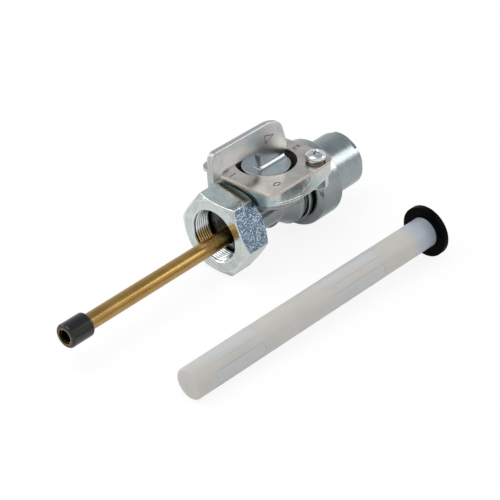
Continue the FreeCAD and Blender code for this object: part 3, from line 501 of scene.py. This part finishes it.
def moulded(name, dark, light, rough, grain_size, grain, edge=0.2, shine=0.5):
    """Plastic or rubber: a slightly uneven colour and gloss with a fine moulded grain."""
    made, nodes, links, shader, where = surface(name)
    uneven = noise(nodes, links, where, 4.0, 4)
    shades = ramp(nodes, links, uneven.outputs["Fac"], [(0.3, dark), (0.7, light)])
    links.new(shades.outputs[0], shader.inputs["Base Color"])
    links.new(span(nodes, links, uneven.outputs["Fac"], *rough), shader.inputs["Roughness"])
    shader.inputs["Specular IOR Level"].default_value = shine
    fine = noise(nodes, links, where, grain_size, 2)
    normal = relief(nodes, links, fine.outputs["Fac"], grain, soft_edges(nodes, edge))
    links.new(normal, shader.inputs["Normal"])
    return made


dress("standpipe_cap", moulded("black_sleeve_plastic", (0.003, 0.003, 0.003), (0.008, 0.008, 0.009),
                               rough=(0.12, 0.2), grain_size=0.6, grain=0.004, edge=0.3))

# The tap body: a pressure die casting in zinc alloy, turned on its neck, cone, ring, bead and collar, and
# plated. It is grey-green with faint pink and blue clouds, and a rough parting line runs along the pad's
# side. A rubber packing with three ports lies in its valve chamber.


def distances(nodes, links, where):
    """The three coordinates in millimetres, each on its own socket."""
    split = nodes.new("ShaderNodeSeparateXYZ")
    links.new(where.outputs[0], split.inputs[0])
    return split.outputs


def painted_light(nodes, links, shader, share, light_factor):
    """Multiplies a material's colour by a factor where the share is 1, which paints light or shade there."""
    own = shader.inputs["Base Color"].links[0].from_socket
    recoloured(nodes, links, shader, share, blend(nodes, links, 1.0, own, light_factor, "MULTIPLY"))


def dulled(nodes, links, shader, share, least):
    """Raises a material's roughness to at least a value where the share is 1."""
    own = shader.inputs["Roughness"].links[0].from_socket
    wanted = span(nodes, links, share, 0.0, least, 0.0, 1.0)
    links.new(both(nodes, links, own, wanted, "MAXIMUM"), shader.inputs["Roughness"])


body_zinc = plated("body_cast_zinc",
                   [(0.28, (0.27, 0.34, 0.39)), (0.42, (0.34, 0.41, 0.395)), (0.52, (0.41, 0.40, 0.415)),
                    (0.62, (0.36, 0.45, 0.42)), (0.75, (0.47, 0.51, 0.52))],
                   cloud_size=4.0, mottle=0.90, mottle_size=0.5, rough=(0.15, 0.24), wave=(3.4, 0.08),
                   edge=0.5, crystals=(0.5, 0.025, None), bright=(0.66, 0.70, 0.70), hollow_shade=(5.0, 0.60))
nodes, links, shader, where = opened(body_zinc)
along, across, height = distances(nodes, links, where)
# Painted shade and light: the body darkens towards its bottom, and is lighter on the pad's near side and on
# its side towards the nut.
shaded_underside = span(nodes, links, height, 1.0, 0.0, -6.0, 11.0)
pad_level = span(nodes, links, height, 0.0, 1.0, 4.0, 7.0)
lit_near_side = both(nodes, links, span(nodes, links, across, 1.0, 0.0, -17.2, -14.5), pad_level)
lit_nut_side = both(nodes, links, span(nodes, links, along, 1.0, 0.0, 14.5, 16.5), pad_level)
painted_light(nodes, links, shader, shaded_underside, (0.50, 0.51, 0.51))
painted_light(nodes, links, shader, lit_near_side, (1.45, 1.45, 1.42))
painted_light(nodes, links, shader, lit_nut_side, (1.25, 1.3, 1.3))
dulled(nodes, links, shader, lit_nut_side, 0.5)
dress("tap_body", body_zinc)
dress("valve_packing", moulded("packing_rubber", (0.010, 0.010, 0.010), (0.03, 0.03, 0.03),
                               rough=(0.5, 0.7), grain_size=0.3, grain=0.02))


def far_apart(piece, edge, axis):
    """How far apart the ends of an edge are along an axis, in millimetres."""
    first, second = (piece.data.vertices[index].co for index in edge.vertices)
    return abs(first[axis] - second[axis]) / mm


valve_x = 27.6
pad_near_y = -17.5
cone_r, cone_z, cone_slope = 13.6, 8.15, 0.552
flash_x, flash_in = 19.0, 0.05
flash_long, flash_wide, flash_high = 14, 0.34, 0.30
bpy.ops.mesh.primitive_cube_add(size=1, location=(0, (pad_near_y + flash_in) * mm, 0))
flash = named("parting_flash")
flash.scale = (flash_long * mm, flash_wide * mm, flash_high * mm)
bpy.ops.object.transform_apply(location=True, rotation=False, scale=True)
pick(flash, "EDGE", lambda edge: far_apart(flash, edge, 0) > 1)
bpy.ops.mesh.subdivide(number_cuts=60)
put_down()
for corner in flash.data.vertices:
    x = corner.co.x / mm + flash_x
    ragged = 0.5 * math.sin(2.9 * x) + 0.3 * math.sin(7.3 * x + 1) + 0.2 * math.sin(15.1 * x + 2)
    from_valve = math.hypot(x - valve_x, pad_near_y)
    pad_low = cone_z + cone_slope * (from_valve - cone_r)
    corner.co.x = x * mm
    corner.co.z = corner.co.z * (1 + 0.5 * ragged) + (pad_low + 0.06 * ragged) * mm
    if corner.co.y < pad_near_y * mm:
        corner.co.y += 0.06 * (ragged - 0.4) * mm
fit(flash, "tap", body_zinc)

# The lever: a zinc casting, a disc with an upright blade as its handle, satin from tumbling before plating.
# An open triangle, a thin dark inlay painting the shade of an engraved line, points the way that the tap is
# set.
lever_zinc = plated("lever_satin_zinc",
                    [(0.28, (0.36, 0.42, 0.47)), (0.42, (0.46, 0.50, 0.51)), (0.53, (0.52, 0.50, 0.515)),
                     (0.64, (0.48, 0.55, 0.52)), (0.78, (0.59, 0.60, 0.54))],
                    cloud_size=6.0, mottle=0.88, mottle_size=0.35, rough=(0.26, 0.38), wave=(2.2, 0.02),
                    edge=0.4, crystals=(0.4, 0.04, None), bright=(0.85, 0.88, 0.89))
nodes, links, shader, where = opened(lever_zinc)
# Painted shade: everything of the lever lower than the disc's top is darker.
shaded_disc = span(nodes, links, distances(nodes, links, where)[2], 1.0, 0.0, 15.7, 16.3)
painted_light(nodes, links, shader, shaded_disc, (0.66, 0.72, 0.75))


def pull(x, y, z):
    """Draws the selected faces out by a distance in millimetres."""
    bpy.ops.mesh.extrude_region_move(TRANSFORM_OT_translate={"value": (x * mm, y * mm, z * mm)})


def joined(piece, tool, operation):
    """Adds a tool's shape to a piece or takes it away, and clears the tool off the bench."""
    bpy.ops.object.select_all(action="DESELECT")
    bpy.context.view_layer.objects.active = piece
    step = piece.modifiers.new("step", "BOOLEAN")
    step.operation = operation
    step.solver = "EXACT"
    step.object = tool
    bpy.ops.object.modifier_apply(modifier="step")
    bpy.data.objects.remove(tool)


blade_half, blade_top, blade_low, tip_x = 1.1, 31.31, 22.7, 0.47
foot_x, foot_low = 23.2, 14.6
foot, tip = (foot_x, blade_low), (tip_x, blade_top)
back_shoulder, front_shoulder = (35.0, 29.23), (29.2, blade_top)
blade_outline = ((tip_x, 20.5), (3.9, 20.5), (5.7, blade_low), foot, (foot_x, foot_low), (36.0, foot_low),
                 (36.2, 15.9), (36.9, 16.7), (37.7, 19.3), back_shoulder, front_shoulder, tip)
bpy.ops.mesh.primitive_circle_add(vertices=12, radius=1 * mm, fill_type="NGON")
casting = named("lever_casting")
for corner, (x, z) in zip(casting.data.vertices, blade_outline):
    corner.co = Vector((x, -blade_half, z)) * mm
bpy.ops.object.mode_set(mode="EDIT")
bpy.ops.mesh.select_all(action="SELECT")
pull(0, 2 * blade_half, 0)


def blade_corner(edge):
    """Whether an edge runs through the blade's thickness at one of its four round corners."""
    end = casting.data.vertices[edge.vertices[0]].co
    place = (round(end.x / mm, 2), round(end.z / mm, 2))
    return far_apart(casting, edge, 1) > 1 and place in (tip, back_shoulder, front_shoulder, foot)


def blade_foot(edge):
    """Whether an edge is one of the two upright ones where the blade meets its foot."""
    ends = [casting.data.vertices[index].co.x / mm for index in edge.vertices]
    return max(abs(x - foot_x) for x in ends) < 0.05 and far_apart(casting, edge, 2) > 3


pick(casting, "EDGE", blade_corner)
bpy.ops.mesh.bevel(offset=2.4 * mm, segments=8, affect="EDGES")
pick(casting, "EDGE", blade_foot)
bpy.ops.mesh.bevel(offset=0.9 * mm, segments=5, affect="EDGES")
bpy.ops.mesh.select_all(action="SELECT")
bpy.ops.mesh.normals_make_consistent(inside=False)
put_down()
flange_r, flange_low, flange_top = 11.9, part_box("lever")[0][2] / mm, 13.4
disc_r, disc_low, disc_top = 8.6, 12.0, 15.6
for radius, low, high in ((flange_r, flange_low, flange_top), (disc_r, disc_low, disc_top)):
    bpy.ops.mesh.primitive_cylinder_add(vertices=160, radius=radius * mm, depth=(high - low) * mm,
                                        location=(valve_x * mm, 0, (low + high) / 2 * mm))
    joined(casting, bpy.context.object, "UNION")
rib_x, rib_half_long = 29.5, 6.2
rib_top, rib_foot = (1.2, 16.5), (2.2, 15.2)
bpy.ops.mesh.primitive_cube_add(size=1, location=(0, 0, 0))
rib = bpy.context.object
for corner in rib.data.vertices:
    end, side = (1 if part > 0 else -1 for part in corner.co[:2])
    half_wide, height = rib_top if corner.co.z > 0 else rib_foot
    corner.co = Vector((rib_x + end * rib_half_long, side * half_wide, height)) * mm
joined(casting, rib, "UNION")
poured = casting.modifiers.new("poured", "REMESH")
poured.mode = "VOXEL"
poured.voxel_size = 0.2 * mm
poured.use_smooth_shade = True
bpy.ops.object.modifier_apply(modifier="poured")
tumbled = casting.modifiers.new("tumbled", "SMOOTH")
tumbled.factor = 0.5
tumbled.iterations = 10
bpy.ops.object.modifier_apply(modifier="tumbled")
fit(casting, "lever", lever_zinc)
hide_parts("lever")

# A dark colour that paints the shade of engraved and stamped lines, for the inlays below.
groove_shade = plated("painted_groove_shade", [(0.3, (0.10, 0.09, 0.11)), (0.7, (0.20, 0.18, 0.21))],
                     cloud_size=1.5, mottle=0.8, mottle_size=0.3, rough=(0.3, 0.45), wave=(0.5, 0.01),
                     edge=0.1)
pointer_outline = ((26.1, 27.4), (26.6, 23.9), (31.2, 26.0))
pointer_line, pointer_deep, pointer_out = 0.34, 0.15, 0.01
bpy.ops.mesh.primitive_circle_add(vertices=3, radius=1 * mm, fill_type="NGON")
pointer = named("lever_pointer")
for corner, (x, z) in zip(pointer.data.vertices, pointer_outline):
    corner.co = Vector((x, -blade_half - pointer_out, z)) * mm
bpy.ops.object.mode_set(mode="EDIT")
bpy.ops.mesh.select_all(action="SELECT")
bpy.ops.mesh.inset(thickness=pointer_line * mm)
bpy.ops.mesh.delete(type="FACE")
bpy.ops.mesh.select_all(action="SELECT")
pull(0, pointer_deep, 0)
bpy.ops.mesh.select_all(action="SELECT")
bpy.ops.mesh.normals_make_consistent(inside=False)
bpy.ops.object.mode_set(mode="OBJECT")
fit(pointer, "lever", groove_shade)

rubber = moulded("seal_rubber", (0.0005, 0.0005, 0.0005), (0.0012, 0.0012, 0.0012),
                 rough=(0.32, 0.5), grain_size=0.3, grain=0.01, shine=0.03)
for ring in ("lever_seal_ring", "cup_seal_ring", "strainer_gasket"):
    dress(ring, rubber)
spring_steel = plated("spring_steel", [(0.3, (0.008, 0.008, 0.009)), (0.7, (0.022, 0.022, 0.025))],
                      cloud_size=2.0, mottle=0.8, mottle_size=0.3, rough=(0.3, 0.45), wave=(1.0, 0.01),
                      edge=0.15)
dress("spring_washer", spring_steel)

# The cover plate: nickelled sheet steel, blanked and laid over the lever's flange, held by two chromed
# cross-recess screws. Small stamped figures round its hole mark the three settings, drawn as thin dark inlays
# that paint the shade in the stamped marks.
plate_nickel = plated("plate_nickel",
                      [(0.3, (0.43, 0.40, 0.37)), (0.5, (0.53, 0.495, 0.46)), (0.7, (0.63, 0.60, 0.565))],
                      cloud_size=7.0, mottle=0.92, mottle_size=0.4, rough=(0.16, 0.26), wave=(5.0, 0.02),
                      edge=0.2, crystals=(0.3, 0.02, None), bright=(0.98, 0.80, 0.68), hollow_shade=(1.0, 0.6))
nodes, links, shader = opened(plate_nickel)[:3]
upright = nodes.new("ShaderNodeNewGeometry")
level = vector_math(nodes, links, "DOT_PRODUCT", upright.outputs["True Normal"], (0.0, 0.0, 1.0))
# Painted highlight: the plate's cut edge is lighter and warmer than its face.
lit_cut_edge = span(nodes, links, level, 1.0, 0.0, 0.3, 0.7)
painted_light(nodes, links, shader, lit_cut_edge, (1.25, 1.12, 1.02))
dulled(nodes, links, shader, lit_cut_edge, 0.45)
dress("lever_plate", plate_nickel)

plate_top = 16.76
figure_high, figure_raised = 4.4, 0.03
for name, mark, x, y in (("figure_front", "0", 18.2, -13.4), ("figure_side", "1", 13.7, 2.4),
                         ("figure_back", "2", 41.2, -2.0)):
    bpy.ops.object.text_add(location=(0, 0, 0))
    stamp = bpy.context.object.data
    stamp.body = mark
    stamp.size = figure_high * mm
    stamp.extrude = figure_raised * mm
    stamp.align_x = "CENTER"
    stamp.align_y = "CENTER"
    bpy.ops.object.convert(target="MESH")
    figure = named(name)
    figure.location = (x * mm, y * mm, plate_top * mm)
    figure.rotation_euler = (0, 0, math.radians(90))
    fit(figure, "tap", groove_shade)

chrome = plated("screw_chrome", [(0.3, (0.60, 0.62, 0.63)), (0.7, (0.74, 0.76, 0.76))],
                cloud_size=2.0, mottle=0.9, mottle_size=0.3, rough=(0.04, 0.10), wave=(1.0, 0.006),
                edge=0.15, bright=(0.95, 0.96, 0.96), hollow_shade=(1.4, 0.04))


def pan_head(name, replaced):
    """Turns a pan head with its seat where a CAD screw is, and presses a tapered cross recess into it."""
    low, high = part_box(replaced)
    x, y, top = (low[0] + high[0]) / 2, (low[1] + high[1]) / 2, high[2]
    shank_r, shank_long, head_high = 3.0, 1.3, 2.3
    bpy.ops.mesh.primitive_cylinder_add(vertices=96, radius=shank_r * mm, depth=shank_long * mm,
                                        location=(x, y, top - (head_high + shank_long / 2) * mm))
    head = named(name)
    pick(head, "FACE", lambda face: face.normal.z > 0.9)
    radius = shank_r
    for rise, next_radius in ((0.0, 3.50), (0.15, 3.62), (0.30, 3.65), (0.55, 3.62), (0.35, 3.45),
                              (0.28, 3.15), (0.22, 2.75), (0.20, 2.20), (0.14, 1.50), (0.08, 0.75)):
        pull(0, 0, rise)
        wider = next_radius / radius
        bpy.ops.transform.resize(value=(wider, wider, 1), center_override=(x, y, top))
        radius = next_radius
    put_down()
    recess_long, recess_wide, recess_high, recess_middle = 4.1, 0.95, 1.9, 0.55
    length_left, width_left = 0.45, 0.6
    for turn in (20, 110):
        bpy.ops.mesh.primitive_cube_add(size=1, location=(x, y, top - recess_middle * mm),
                                        rotation=(0, 0, math.radians(turn)))
        punch = bpy.context.object
        punch.scale = (recess_long * mm, recess_wide * mm, recess_high * mm)
        bpy.ops.object.transform_apply(location=False, rotation=False, scale=True)
        for corner in punch.data.vertices:
            if corner.co.z < 0:
                corner.co.x *= length_left
                corner.co.y *= width_left
        joined(head, punch, "DIFFERENCE")
    worn = head.modifiers.new("worn", "BEVEL")
    worn.width = 0.08 * mm
    worn.segments = 2
    worn.limit_method = "ANGLE"
    worn.angle_limit = math.radians(50)
    bpy.ops.object.modifier_apply(modifier="worn")
    fit(head, "tap", chrome)
    head.select_set(True)
    bpy.ops.object.shade_smooth_by_angle(angle=math.radians(35))
    head.select_set(False)
    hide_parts(replaced)


pan_head("pan_head_front", "plate_screw_front")
pan_head("pan_head_rear", "plate_screw_rear")

# The sediment cup: a deep-drawn steel cup, zinc plated, with six small spanner flats at its closed end. It is
# screwed into the collar on a rubber ring, and a finger of nylon gauze stands inside it.
cup_zinc = plated("cup_drawn_zinc",
                  [(0.3, (0.26, 0.30, 0.32)), (0.5, (0.31, 0.35, 0.365)), (0.7, (0.35, 0.385, 0.40))],
                  cloud_size=5.0, mottle=0.92, mottle_size=0.4, rough=(0.20, 0.30), wave=(6.0, 0.02),
                  edge=0.3, crystals=(0.4, 0.02, None), bright=(0.60, 0.64, 0.66))
dress("sediment_cup", cup_zinc)
dress("bowl_screen", moulded("bowl_gauze", (0.5, 0.48, 0.42), (0.6, 0.58, 0.52),
                             rough=(0.4, 0.5), grain_size=0.3, grain=0.02))

# The strainer: a natural nylon tube moulded over fine gauze, closed at one end, with a flange that the union
# nut clamps. Here it lies apart with its gasket on. Its last stretch is thin enough to look bluish.
strainer_place = (-56.3, -41.7, -8.97)
strainer_turn = (0, math.radians(-1.945), math.radians(-3.85))


def from_closed_end(nodes, links, where):
    """Coordinates in millimetres along and across the strainer's own axis, from its closed end."""
    made = nodes.new("ShaderNodeMapping")
    made.vector_type = "TEXTURE"
    made.inputs["Location"].default_value = strainer_place
    made.inputs["Rotation"].default_value = strainer_turn
    links.new(where.outputs[0], made.inputs["Vector"])
    return made


def waxy(shader, roughness, weight, depth):
    """Makes a shader waxy, as nylon is, so that light goes in to a depth in millimetres."""
    shader.inputs["Roughness"].default_value = roughness
    shader.inputs["Specular IOR Level"].default_value = 0.3
    shader.inputs["Subsurface Weight"].default_value = weight
    shader.inputs["Subsurface Scale"].default_value = depth * mm


nylon, nodes, links, shader, where = surface("natural_nylon")
waxy(shader, 0.34, 0.5, 1.0)
shader.inputs["Subsurface Radius"].default_value = (1, 0.95, 0.85)
milk = noise(nodes, links, where, 9.0, 3)
milky = ramp(nodes, links, milk.outputs["Fac"], [(0.3, (0.57, 0.545, 0.505)), (0.7, (0.60, 0.58, 0.545))])
along = distances(nodes, links, from_closed_end(nodes, links, where))[0]
thin = span(nodes, links, along, 0.0, 1.0, 97.0, 103.0)
links.new(blend(nodes, links, thin, milky.outputs[0], (0.42, 0.47, 0.53)), shader.inputs["Base Color"])
fine = noise(nodes, links, where, 0.8, 2)
links.new(relief(nodes, links, fine.outputs["Fac"], 0.006, soft_edges(nodes, 0.25)), shader.inputs["Normal"])

tube_r, bore_r, rim_flange_r = 5.45, 4.3, 7.6
tube_long, rim_flange_thick, end_thick = 110.5, 1.2, 1.4
bpy.ops.mesh.primitive_cylinder_add(vertices=96, radius=tube_r * mm, depth=tube_long * mm,
                                    location=(tube_long / 2 * mm, 0, 0), rotation=(0, math.radians(90), 0))
tube = named("strainer_tube")
bpy.ops.object.transform_apply(location=True, rotation=True, scale=True)


def open_end(face):
    """Whether a face is the tube's whole end on the flange's side."""
    return face.normal.x > 0.9 and len(face.vertices) > 4


def closed_end(face):
    """Whether a face is the tube's whole outer end on the closed side."""
    return face.normal.x < -0.9 and len(face.vertices) > 4 and face.center.x < 0.5 * mm


pick(tube, "FACE", open_end)
pull(0, 0, 0)
wider = rim_flange_r / tube_r
bpy.ops.transform.resize(value=(1, wider, wider), center_override=(tube_long * mm, 0, 0))
pull(rim_flange_thick, 0, 0)
bpy.ops.mesh.inset(thickness=(rim_flange_r - bore_r) * mm)
pull(end_thick - rim_flange_thick - tube_long, 0, 0)
pick(tube, "FACE", closed_end)
bpy.ops.mesh.bevel(offset=0.9 * mm, segments=5, affect="EDGES")
pick(tube, "FACE", closed_end)

# The closed end is a low dome with the small dimple of the mould's gate in its middle.
for narrower, shift in ((0.6, -0.10), (2.0, -0.12), (1.5, -0.03), (0.1, 0.15)):
    bpy.ops.mesh.inset(thickness=narrower * mm)
    bpy.ops.transform.translate(value=(shift * mm, 0, 0))
put_down()

end_windows, middle_windows = (6.6, 27.7), (58.4, 83.1)
window_wide, window_round, right_through = 5.4, 1.0, 14.0
for start, stop in (end_windows, middle_windows):
    for width, height, long_axis in ((window_wide, right_through, 2), (right_through, window_wide, 1)):
        bpy.ops.mesh.primitive_cube_add(size=1, location=((start + stop) / 2 * mm, 0, 0))
        punch = bpy.context.object
        punch.scale = ((stop - start) * mm, width * mm, height * mm)
        bpy.ops.object.transform_apply(location=False, rotation=False, scale=True)
        pick(punch, "EDGE", lambda edge: far_apart(punch, edge, long_axis) > window_wide)
        bpy.ops.mesh.bevel(offset=window_round * mm, segments=5, affect="EDGES")
        put_down()
        joined(tube, punch, "DIFFERENCE")


def lay_down(piece):
    """Lays a piece that was made along the x axis where the strainer lies."""
    piece.rotation_euler = strainer_turn
    piece.location = Vector(strainer_place) * mm


tube.select_set(True)
bpy.ops.object.shade_smooth_by_angle(angle=math.radians(40))
lay_down(tube)
fit(tube, "tap", nylon)
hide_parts("strainer_frame")

gauze, nodes, links, shader, where = surface("strainer_gauze")
waxy(shader, 0.45, 0.4, 0.6)
own_axes = from_closed_end(nodes, links, where)
threads = []
for direction in ("X", "Y", "Z"):
    wave = nodes.new("ShaderNodeTexWave")
    wave.bands_direction = direction
    wave.inputs["Scale"].default_value = 0.75
    links.new(own_axes.outputs[0], wave.inputs["Vector"])
    threads.append(wave.outputs["Fac"])
lengthwise, crosswise, upwards = threads
woven = both(nodes, links, lengthwise, both(nodes, links, crosswise, upwards, "MAXIMUM"))
weave = ramp(nodes, links, woven, [(0.0, (0.60, 0.595, 0.585)), (1.0, (0.545, 0.54, 0.535))])
links.new(weave.outputs[0], shader.inputs["Base Color"])
links.new(relief(nodes, links, woven, 0.02), shader.inputs["Normal"])


def gauze_panels(name, replaced, start, stop):
    """Stretches four panels of gauze in a row of windows, a little below the tube's outside."""
    tucked, gauze_r, half_wide, gauze_thick = 0.2, 5.40, 2.9, 0.2
    length = stop - start + 2 * tucked
    bpy.ops.mesh.primitive_cylinder_add(vertices=96, radius=gauze_r * mm, depth=length * mm,
                                        end_fill_type="NOTHING", location=((start + stop) / 2 * mm, 0, 0),
                                        rotation=(0, math.radians(90), 0))
    panel = named(name)
    bpy.ops.object.transform_apply(location=True, rotation=True, scale=True)
    bpy.ops.object.mode_set(mode="EDIT")
    for side, keep in (((0, 1, 0), half_wide), ((0, -1, 0), half_wide), ((0, 0, -1), 0)):
        bpy.ops.mesh.select_all(action="SELECT")
        bpy.ops.mesh.bisect(plane_co=Vector(side) * keep * mm, plane_no=side, clear_outer=True)
    bpy.ops.object.mode_set(mode="OBJECT")
    thickened(panel, gauze_thick, -1)
    others = []
    for quarter in (1, 2, 3):
        other = panel.copy()
        other.data = panel.data.copy()
        bpy.context.collection.objects.link(other)
        other.rotation_euler = (math.radians(90 * quarter), 0, 0)
        others.append(other)
    bpy.ops.object.select_all(action="DESELECT")
    for other in (*others, panel):
        other.select_set(True)
    bpy.context.view_layer.objects.active = panel
    bpy.ops.object.join()
    bpy.ops.object.shade_smooth_by_angle(angle=math.radians(35))
    lay_down(panel)
    fit(panel, "tap", gauze)
    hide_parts(replaced)


gauze_panels("gauze_end", "strainer_mesh_end", *end_windows)
gauze_panels("gauze_middle", "strainer_mesh_middle", *middle_windows)
